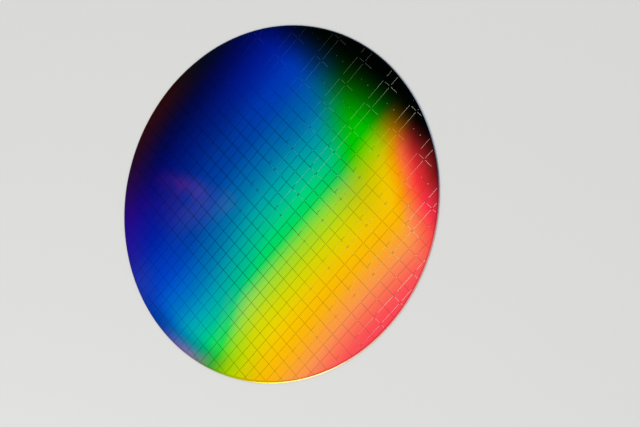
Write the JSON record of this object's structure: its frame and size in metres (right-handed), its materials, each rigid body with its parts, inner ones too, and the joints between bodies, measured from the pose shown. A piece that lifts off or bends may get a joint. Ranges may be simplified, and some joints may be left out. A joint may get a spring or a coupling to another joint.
{
  "type": "silicon wafer",
  "caption": "Thin round silicon wafer with a bevelled edge, an alignment notch and a front face printed with a grid of dies that shines in rainbow bands.",
  "frame": {"origin": "centre of the back face, which is what the wafer lies on", "axes": "+Z out of the printed front face, -Y from the centre to the alignment notch, +X across the notch axis"},
  "size_m": [0.3, 0.3, 0.0008],
  "materials": {
    "wafer": "polished, rainbow sheen from the fine print on the front"
  },
  "bodies": {
    "root": {"wafer": "wafer"}
  },
  "joints": []
}
